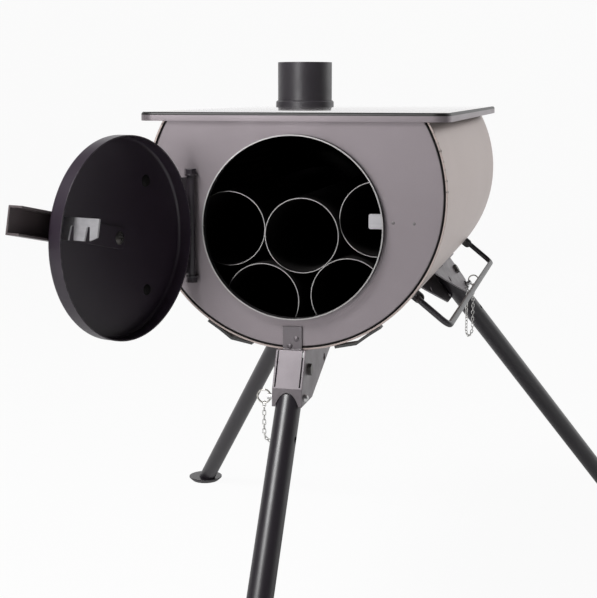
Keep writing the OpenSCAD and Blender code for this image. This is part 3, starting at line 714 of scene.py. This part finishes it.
def folded_top(material, bend):
    """The cooking top with a rounded fold along its upper edge."""
    same_height, near_hole = 0.01 * MM, 2 * SPIGOT_R
    edge_turn, smooth_turn = math.radians(60), math.radians(35)
    work = merged_copy("top_plate")
    rim = []
    for edge in work.edges:
        ends = [vert.co for vert in edge.verts]
        on_top = all(abs(co.z - TOP_Z) < same_height for co in ends)
        at_hole = all((co.xy - SPIGOT.xy).length < near_hole for co in ends)
        if on_top and not at_hole and edge.calc_face_angle(0) > edge_turn:
            rim.append(edge)
    if not rim:
        raise RuntimeError("cooking_top: no upper edge was found")
    bmesh.ops.bevel(work, geom=rim, offset=bend, segments=4, profile=0.5, affect="EDGES")
    piece = piece_from("cooking_top", work, material)
    piece.data.shade_smooth()
    piece.data.set_sharp_from_angle(angle=smooth_turn)
    return piece


class STOVE_OT_body(bpy.types.Operator):
    """Paint the body, its plates, the cooking top and the spigot"""

    bl_idname = "stove.body"
    bl_label = "Body"

    def execute(self, context):
        front = end_plate_paint("plate_paint", FRONT_Y + SHEET / 2, TO_BACK)
        back = end_plate_paint("back_plate_paint", BACK_Y - SHEET / 2, TO_FRONT)
        put_on(front, "front_plate")
        put_on(back, "back_plate")
        put_on(wrapper_paint(), "body_shell")
        top = folded_top(top_paint(), context.scene.stove_small.edge_bend)
        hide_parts("top_plate")
        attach(top, "root")
        put_on(flue_paint(), "flue_spigot", "spigot_bead")
        put_on(collar_steel(), "opening_collar")
        put_on(bright_steel(), "catch_tab", "latch_plate", "lever_nut")
        return {"FINISHED"}


# ---- Finishes of the door ----


def hinge_paint():
    """Smooth black paint under a thin gloss."""
    scene = bpy.context.scene
    finish = Finish("hinge_black")
    finish.paint(scene.stove_paints.hinge, roughness=0.3, shade=0.03, gloss=0.02)
    finish.rub(scene.stove_steel.worn_hinge, amount=0.25)
    return finish.done(bump=0.005 * MM, Coat_Weight=0.4, Coat_Roughness=0.12)


def door_paint():
    """Dark satin paint with rubbed edges."""
    paints = bpy.context.scene.stove_paints
    finish = Finish("door_paint")
    finish.paint(paints.door, paints.dark_gloss, shade=0.06, cloud=10.0, gloss=0.02)
    finish.rub(bpy.context.scene.stove_steel.edge, amount=0.45, radius=0.6 * MM)
    return finish.done(Specular_IOR_Level=0.55)


def lever_paint():
    """Grey paint, rubbed most at its edges."""
    scene = bpy.context.scene
    finish = Finish("lever_paint")
    finish.paint(scene.stove_paints.lever, roughness=0.42, shade=0.12, cloud=20.0)
    finish.rub(scene.stove_steel.edge, amount=0.7, radius=0.4 * MM)
    return finish.done()


class STOVE_OT_door(bpy.types.Operator):
    """Paint the door, its hinge and its lever"""

    bl_idname = "stove.door"
    bl_label = "Door"

    def execute(self, context):
        put_on(hinge_paint(), "hinge_ears", "hinge_bolt", "hinge_nut", "hinge_tube", "hinge_leaf")
        put_on(door_paint(), "door_pan", "latch_strip")
        put_on(lever_paint(), "door_lever")
        put_on(bolt_steel(), "lever_screw")
        return {"FINISHED"}


# ---- Finishes of the legs and the pipes ----


def weld_scale():
    """Dull scale left on the plug welds inside the door."""
    finish = Finish("weld_scale")
    finish.paint(bpy.context.scene.stove_paints.soot_and_painted_shade, roughness=0.6, shade=0.2, cloud=300.0)
    return finish.done(Specular_IOR_Level=0.2)


def leg_paint():
    """Even black paint with a soft shine."""
    paints = bpy.context.scene.stove_paints
    finish = Finish("leg_paint")
    finish.paint(paints.leg, paints.dark_gloss, shade=0.05, cloud=16.0, gloss=0.015)
    finish.rub(bpy.context.scene.stove_steel.edge, amount=0.3)
    return finish.done(bump=0.006 * MM, Specular_IOR_Level=0.7)


def bracket_paint():
    """The body's kind of paint, darker and more clouded."""
    paints = bpy.context.scene.stove_paints
    finish = Finish("bracket_paint")
    finish.paint(paints.bracket, paints.plate_gloss, paints.body_metal, shade=0.08, cloud=25.0)
    finish.rub(bpy.context.scene.stove_steel.edge, amount=0.5, radius=0.6 * MM)
    return finish.done()


def bolt_steel():
    """Dark steel, bare at its edges."""
    steel = bpy.context.scene.stove_steel
    finish = Finish("bolt_steel")
    finish.steel(steel.bolt, roughness=0.4)
    finish.rub(steel.worn_bolt, amount=0.6)
    return finish.done(bump=0.01 * MM)


def chain_steel():
    """Bright plated wire."""
    finish = Finish("chain_steel")
    finish.steel(bpy.context.scene.stove_steel.chain, roughness=0.22, streak=2000.0)
    return finish.done(bump=0.005 * MM)


def pipe_steel(pipe):
    """Dark inside and out, with a bare cut edge in front."""
    steel = bpy.context.scene.stove_steel
    bare_depth = 0.35 * MM
    finish = Finish(f"pipe_steel_{pipe}")
    finish.steel(steel.pipe, roughness=0.45, turn=TO_BACK)
    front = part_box(f"pipe_{pipe}")[0].y
    rim = finish.beyond((0, front + bare_depth, 0), TO_FRONT)
    finish.cover(rim, steel.edge, roughness=0.3, metal=1.0)
    return finish.done(bump=0.01 * MM)


class STOVE_OT_legs(bpy.types.Operator):
    """Paint the legs, brackets, lock pins and bail"""

    bl_idname = "stove.legs"
    bl_label = "Legs and bail"

    def execute(self, context):
        leg, bracket = leg_paint(), bracket_paint()
        bolt = bpy.data.materials["bolt_steel"]
        bright, ring = bpy.data.materials["bright_steel"], chain_steel()
        for name in LEGS:
            put_on(leg, f"leg_tube_{name}", f"foot_{name}")
            put_on(bracket, f"leg_bracket_{name}")
            put_on(bolt, f"pivot_bolt_{name}", f"pivot_nut_{name}")
            put_on(bright, f"lock_pin_{name}")
            put_on(ring, f"pull_ring_{name}", f"pin_chain_{name}")
        put_on(bracket, "bracket_rivets")
        put_on(leg, "side_bail", "bail_lugs")
        put_on(bpy.data.materials["lever_paint"], "leg_rest_left", "leg_rest_right")
        return {"FINISHED"}


class STOVE_OT_pipes(bpy.types.Operator):
    """Finish the stowed flue pipes"""

    bl_idname = "stove.pipes"
    bl_label = "Stowed pipes"

    def execute(self, context):
        for pipe in PIPES:
            put_on(pipe_steel(pipe), f"pipe_{pipe}")
        return {"FINISHED"}


# ---- Chains and welds ----


def chain_tree():
    """Links along a curve, each turned a quarter from the last."""

    def build(graph, given):
        link_steps, wire_steps = 20, 8
        straight = graph.calc("SUBTRACT", given["Link Length"], given["Link Width"])
        bend = graph.calc("DIVIDE", graph.calc("SUBTRACT", given["Link Width"], given["Wire"]), 2.0)
        both_wires = graph.calc("MULTIPLY", given["Wire"], 2.0)
        pitch = graph.calc("SUBTRACT", given["Link Length"], both_wires)
        ring = graph.add("GeometryNodeCurvePrimitiveCircle", {"Resolution": link_steps, "Radius": bend})
        at = graph.add("GeometryNodeInputPosition").outputs[0]
        side = graph.calc("SIGN", graph.add("ShaderNodeSeparateXYZ", {0: at}).outputs["Y"])
        shift = graph.calc("MULTIPLY", side, graph.calc("DIVIDE", straight, 2.0))
        move = graph.add("ShaderNodeCombineXYZ", {"Y": shift}).outputs[0]
        oval = graph.add("GeometryNodeSetPosition", {"Geometry": ring.outputs["Curve"], "Offset": move})
        stood = graph.add(
            "GeometryNodeTransform",
            {"Geometry": oval.outputs[0], "Rotation": (math.radians(90), 0, 0)},
        )
        wire_r = graph.calc("DIVIDE", given["Wire"], 2.0)
        wire = graph.add(
            "GeometryNodeCurvePrimitiveCircle", {"Resolution": wire_steps, "Radius": wire_r}
        )
        link = graph.add(
            "GeometryNodeCurveToMesh",
            {"Curve": stood.outputs[0], "Profile Curve": wire.outputs["Curve"]},
        )
        points = graph.add(
            "GeometryNodeCurveToPoints", {"Curve": given["Geometry"], "Length": pitch}, mode="LENGTH"
        )
        placed = graph.add(
            "GeometryNodeInstanceOnPoints",
            {
                "Points": points.outputs["Points"],
                "Instance": link.outputs[0],
                "Rotation": points.outputs["Rotation"],
            },
        )
        turn = graph.calc("MULTIPLY", graph.add("GeometryNodeInputIndex").outputs[0], math.radians(90))
        turned = graph.add(
            "GeometryNodeRotateInstances",
            {
                "Instances": placed.outputs[0],
                "Rotation": graph.add("ShaderNodeCombineXYZ", {"Z": turn}).outputs[0],
            },
        )
        real = graph.add("GeometryNodeRealizeInstances", {"Geometry": turned.outputs[0]})
        smooth = graph.add("GeometryNodeSetShadeSmooth", {"Geometry": real.outputs[0]})
        coat = {"Geometry": smooth.outputs[0], "Material": given["Material"]}
        return (graph.add("GeometryNodeSetMaterial", coat).outputs[0],)

    return new_group(
        "Chain Links",
        "GeometryNodeTree",
        [
            ("Geometry", "NodeSocketGeometry", None),
            ("Link Length", FLOAT, None),
            ("Link Width", FLOAT, None),
            ("Wire", FLOAT, None),
            ("Material", "NodeSocketMaterial", None),
        ],
        [("Geometry", "NodeSocketGeometry")],
        build,
    )


def line_curve(name, points):
    """A curve of straight stretches through points."""
    curve = bpy.data.curves.new(name, "CURVE")
    curve.dimensions = "3D"
    spline = curve.splines.new("POLY")
    spline.points.add(len(points) - 1)
    for place, point in zip(spline.points, points, strict=True):
        place.co = (*point, 1)
    made = bpy.data.objects.new(name, curve)
    bpy.context.scene.collection.objects.link(made)
    return made


def grown(name, source, tree, values):
    """The mesh that a node tree grows on source, as a piece of its own."""
    modifier = source.modifiers.new(name, "NODES")
    modifier.node_group = tree
    for item in tree.interface.items_tree:
        if item.item_type == "SOCKET" and item.in_out == "INPUT" and item.name in values:
            modifier[item.identifier] = values[item.name]
    source.update_tag()
    bpy.context.view_layer.update()
    graph = bpy.context.evaluated_depsgraph_get()
    mesh = bpy.data.meshes.new_from_object(source.evaluated_get(graph), depsgraph=graph)
    source.modifiers.remove(modifier)
    bpy.data.objects.remove(source)
    if not mesh.polygons:
        raise RuntimeError(f"{name}: the node tree made nothing")
    mesh.name = name
    piece = bpy.data.objects.new(name, mesh)
    bpy.context.scene.collection.objects.link(piece)
    return piece


def hanging_path(leg):
    """The middle line of a slack chain from ring to bracket, found from the box of its CAD loop."""
    low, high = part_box(f"pin_chain_{leg}")
    ring_low, ring_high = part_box(f"pull_ring_{leg}")
    ring = (ring_low + ring_high) / 2
    ring_gap, steps = 0.2 * MM, 24
    corners = [
        Vector((x, y, 0))
        for x in (low.x + CHAIN_LOOP_R, high.x - CHAIN_LOOP_R)
        for y in (low.y + CHAIN_LOOP_R, high.y - CHAIN_LOOP_R)
    ]
    flat_ring = Vector((ring.x, ring.y, 0))
    near = min(corners, key=lambda corner: (corner - flat_ring).length)
    far = max(corners, key=lambda corner: (corner - near).length)
    reach = (far - near).length / 2
    centre = (near + far) / 2
    bottom = low.z + CHAIN_LOOP_R + reach
    points = [near + Vector((0, 0, ring_low.z - ring_gap))]
    side = (near - centre).normalized()
    for step in range(steps + 1):
        angle = math.pi * step / steps
        spot = centre + side * reach * math.cos(angle)
        points.append(Vector((spot.x, spot.y, bottom - reach * math.sin(angle))))
    points.append(far + Vector((0, 0, high.z - CHAIN_LOOP_R)))
    return points


class STOVE_OT_chains(bpy.types.Operator):
    """Hang a chain of real links from each lock pin to its bracket"""

    bl_idname = "stove.chains"
    bl_label = "Chains"

    def execute(self, context):
        sizes = context.scene.stove_small
        tree = chain_tree()
        for leg in LEGS:
            points = hanging_path(leg)
            piece = grown(
                f"chain_{leg}",
                line_curve(f"chain_path_{leg}", points),
                tree,
                {
                    "Link Length": sizes.link_length,
                    "Link Width": sizes.link_width,
                    "Wire": sizes.link_wire,
                    "Material": bpy.data.materials["chain_steel"],
                },
            )
            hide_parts(f"pin_chain_{leg}")
            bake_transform(piece)
        return {"FINISHED"}


def weld_tree():
    """A low rippled spot on every point, turned to the point's own facing."""

    def build(graph, given):
        ripple_rate, ripple_share, flatness = 38.0, 0.03, 0.34
        smallest, largest = 0.8, 1.15
        ball = graph.add("GeometryNodeMeshUVSphere", {"Segments": 20, "Rings": 10, "Radius": 0.5})
        at = graph.add("GeometryNodeInputPosition").outputs[0]
        parts = graph.add("ShaderNodeSeparateXYZ", {0: at}).outputs
        away = graph.add("ShaderNodeCombineXYZ", {"X": parts["X"], "Y": parts["Y"]}).outputs[0]
        radius = graph.add("ShaderNodeVectorMath", {0: away}, operation="LENGTH").outputs["Value"]
        wave = graph.calc("SINE", graph.calc("MULTIPLY", radius, ripple_rate))
        lift = graph.calc("MULTIPLY", wave, ripple_share)
        move = graph.add("ShaderNodeVectorMath", {0: at, "Scale": lift}, operation="SCALE").outputs[0]
        rippled = graph.add("GeometryNodeSetPosition", {"Geometry": ball.outputs["Mesh"], "Offset": move})
        flat = graph.add(
            "GeometryNodeTransform", {"Geometry": rippled.outputs[0], "Scale": (1.0, 1.0, flatness)}
        )
        facing = graph.add(
            "GeometryNodeInputNamedAttribute", {"Name": "facing"}, data_type="FLOAT_VECTOR"
        )
        turn = graph.add("FunctionNodeAlignRotationToVector", {"Vector": facing.outputs[0]}, axis="Z")
        uneven = graph.add("FunctionNodeRandomValue", {"Seed": 7}, data_type="FLOAT")
        uneven.inputs[2].default_value, uneven.inputs[3].default_value = smallest, largest
        size = graph.calc("MULTIPLY", uneven.outputs[1], given["Size"])
        placed = graph.add(
            "GeometryNodeInstanceOnPoints",
            {
                "Points": given["Geometry"],
                "Instance": flat.outputs[0],
                "Rotation": turn.outputs[0],
                "Scale": size,
            },
        )
        real = graph.add("GeometryNodeRealizeInstances", {"Geometry": placed.outputs[0]})
        smooth = graph.add("GeometryNodeSetShadeSmooth", {"Geometry": real.outputs[0]})
        coat = {"Geometry": smooth.outputs[0], "Material": given["Material"]}
        return (graph.add("GeometryNodeSetMaterial", coat).outputs[0],)

    return new_group(
        "Spot Welds",
        "GeometryNodeTree",
        [
            ("Geometry", "NodeSocketGeometry", None),
            ("Size", FLOAT, None),
            ("Material", "NodeSocketMaterial", None),
        ],
        [("Geometry", "NodeSocketGeometry")],
        build,
    )


def spots(name, tree, places, facings, size, material):
    """Weld spots as one piece, from points that each know which way they face."""
    mesh = bpy.data.meshes.new(name)
    mesh.from_pydata(places, [], [])
    facing = mesh.attributes.new("facing", "FLOAT_VECTOR", "POINT")
    for item, value in zip(facing.data, facings, strict=True):
        item.vector = value
    points = bpy.data.objects.new(f"{name}_places", mesh)
    bpy.context.scene.collection.objects.link(points)
    return grown(name, points, tree, {"Size": size, "Material": material})


class STOVE_OT_welds(bpy.types.Operator):
    """Add the welds on the body's rim, the marks on the front plate and the plug welds in the door"""

    bl_idname = "stove.welds"
    bl_label = "Welds"

    def execute(self, context):
        sizes, made = context.scene.stove_small, bpy.data.materials
        tree = weld_tree()
        forwards = Vector((0, -1, 0))
        sunk, behind_rim = 0.4 * MM, Vector((0, 0.6 * MM, 0))

        ways = [Vector((math.cos(turn), 0, math.sin(turn))) for turn in map(math.radians, RIM_TACKS)]
        rim = [BODY_AXIS + way * (BODY_R - sunk) + behind_rim for way in ways]
        outwards = [way + forwards for way in ways]
        body = spots("tack_welds", tree, rim, outwards, sizes.tack_size, made["body_paint"])
        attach(body, "root")

        plate_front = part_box("front_plate")[0].y
        marks = [Vector((OPENING.x + x * MM, plate_front, OPENING.z + z * MM)) for x, z in PLATE_MARKS]
        outwards = [forwards] * len(marks)
        plate = spots("plate_marks", tree, marks, outwards, sizes.dimple_size, made["plate_paint"])
        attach(plate, "root")

        along = Vector((0, 0, 1)).cross(DOOR_OUT)
        inner = DOOR_FACE - DOOR_OUT * DOOR_SHEET
        plugs = [inner + along * x * MM + Vector((0, 0, z * MM)) for x, z in DOOR_PLUGS]
        inwards = [-DOOR_OUT] * len(plugs)
        door = spots("plug_welds", tree, plugs, inwards, sizes.plug_size, weld_scale())
        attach(door, "door")
        return {"FINISHED"}


# ---- Stage ----


def soft_lamp(name, place, wide, high, power):
    """A rectangle of light that faces the stove."""
    lamp = bpy.data.lights.new(name, "AREA")
    lamp.shape = "RECTANGLE"
    lamp.size, lamp.size_y = wide, high
    lamp.energy = power
    made = bpy.data.objects.new(name, lamp)
    made.location = place
    made.rotation_euler = (Vector(LAMP_AIM) - made.location).to_track_quat("-Z", "Y").to_euler()
    bpy.context.scene.collection.objects.link(made)


def studio_white():
    """A pale floor and backdrop: white to the camera and, behind the stove, in its gloss too."""
    pale_grey, glow_share = (0.8, 0.8, 0.8, 1), 0.95
    mirror_start, mirror_end, least_mirror = 0.0, 1.2, 0.12
    graph = Finish("studio_white")
    pale = graph.add("ShaderNodeBsdfDiffuse", {"Color": pale_grey}).outputs[0]
    glow = graph.add("ShaderNodeEmission", {"Color": WHITE, "Strength": 1.0}).outputs[0]
    both = graph.add("ShaderNodeMixShader", {0: glow_share, 1: pale, 2: glow}).outputs[0]
    path = graph.add("ShaderNodeLightPath").outputs
    depth = graph.add("ShaderNodeSeparateXYZ", {0: graph.place}).outputs["Y"]
    behind = graph.ramp(depth, mirror_start, mirror_end, least_mirror, 1.0)
    mirrored = graph.calc("MULTIPLY", path["Is Glossy Ray"], behind)
    shown = graph.calc("MAXIMUM", path["Is Camera Ray"], mirrored)
    shown = graph.calc("MAXIMUM", shown, path["Is Transmission Ray"])
    surface = graph.add("ShaderNodeMixShader", {0: shown, 1: pale, 2: both}).outputs[0]
    graph.add("ShaderNodeOutputMaterial", {"Surface": surface})
    return graph.material


def surroundings(front, back, above):
    """Light from all round: front on the camera's side, back behind the stove, less overhead."""
    world = bpy.data.worlds.new("studio")
    world.use_nodes = True
    world.node_tree.nodes.clear()
    graph = Graph(world.node_tree)
    way = graph.add("ShaderNodeTexCoord").outputs["Generated"]
    parts = graph.add("ShaderNodeSeparateXYZ", {0: way}).outputs
    round_about = graph.ramp(parts["Y"], -0.1, 0.8, front, back)
    overhead = graph.ramp(parts["Z"], 0.2, 0.8, 1.0, above)
    level = graph.calc("MULTIPLY", round_about, overhead)
    lit = graph.add("ShaderNodeBackground", {"Color": WHITE, "Strength": level})
    white = graph.add("ShaderNodeBackground", {"Color": WHITE, "Strength": 1.0})
    path = graph.add("ShaderNodeLightPath").outputs
    both = graph.add(
        "ShaderNodeMixShader", {0: path["Is Camera Ray"], 1: lit.outputs[0], 2: white.outputs[0]}
    )
    graph.add("ShaderNodeOutputWorld", {"Surface": both.outputs[0]})
    bpy.context.scene.world = world


def sweep_floor():
    """A floor that curves up into a backdrop."""
    half, front, back, bend, high, steps = 5.0, -5.0, 4.2, 1.2, 4.5, 16
    profile = [(front, 0.0), (0.0, 0.0), (back - bend, 0.0)]
    for step in range(1, steps + 1):
        angle = math.radians(90) * step / steps
        profile.append((back - bend + bend * math.sin(angle), bend - bend * math.cos(angle)))
    profile.append((back, high))
    mesh = bpy.data.meshes.new("floor")
    points = [(x, y, z) for x in (-half, half) for y, z in profile]
    count = len(profile)
    faces = [(i, count + i, count + i + 1, i + 1) for i in range(count - 1)]
    mesh.from_pydata(points, [], faces)
    mesh.shade_smooth()
    mesh.materials.append(studio_white())
    floor = bpy.data.objects.new("floor", mesh)
    bpy.context.scene.collection.objects.link(floor)


class STOVE_OT_stage(bpy.types.Operator):
    """Set up the camera, the lamps, the floor and the backdrop"""

    bl_idname = "stove.stage"
    bl_label = "Stage"

    def execute(self, context):
        stage = context.scene.stove_stage
        context.scene.view_settings.view_transform = "Standard"
        camera = bpy.data.objects.new("camera", bpy.data.cameras.new("camera"))
        camera.data.lens = stage.lens
        camera.data.sensor_width = SENSOR_WIDTH
        camera.location = Vector((OPENING.x, FRONT_Y, OPENING.z)) + Vector(stage.place)
        camera.rotation_euler = (math.radians(90) - stage.pitch, 0, stage.heading)
        context.scene.collection.objects.link(camera)
        context.scene.camera = camera
        for name, (place, wide, high) in LAMPS.items():
            soft_lamp(name, place, wide, high, getattr(stage, name))
        surroundings(stage.sky_front, stage.sky_back, stage.sky_above)
        sweep_floor()
        return {"FINISHED"}


class STOVE_PT_panel(bpy.types.Panel):
    """The stove's pieces in the sidebar"""

    bl_label = "Tent Wood Stove"
    bl_idname = "STOVE_PT_panel"
    bl_space_type = "VIEW_3D"
    bl_region_type = "UI"
    bl_category = "Stove"

    def draw(self, context):
        for operator in OPERATORS:
            self.layout.operator(operator.bl_idname)
        for group in SETTINGS:
            settings = getattr(context.scene, group)
            box = self.layout.box()
            for name in settings.bl_rna.properties.keys():
                if name not in ("rna_type", "name"):
                    box.prop(settings, name)


OPERATORS = (
    STOVE_OT_body,
    STOVE_OT_door,
    STOVE_OT_legs,
    STOVE_OT_pipes,
    STOVE_OT_chains,
    STOVE_OT_welds,
    STOVE_OT_stage,
)
SETTINGS = {
    "stove_paints": StovePaints,
    "stove_steel": StoveSteel,
    "stove_small": StoveSmallPieces,
    "stove_stage": StoveStage,
}
CLASSES = (*SETTINGS.values(), *OPERATORS, STOVE_PT_panel)


def register():
    for made in CLASSES:
        bpy.utils.register_class(made)
    for name, group in SETTINGS.items():
        setattr(bpy.types.Scene, name, bpy.props.PointerProperty(type=group))


def unregister():
    for name in SETTINGS:
        delattr(bpy.types.Scene, name)
    for made in reversed(CLASSES):
        bpy.utils.unregister_class(made)


def main():
    """Builds every group in turn."""
    register()
    for operator in OPERATORS:
        group, name = operator.bl_idname.split(".")
        getattr(getattr(bpy.ops, group), name)()


if __name__ == "__main__":
    main()
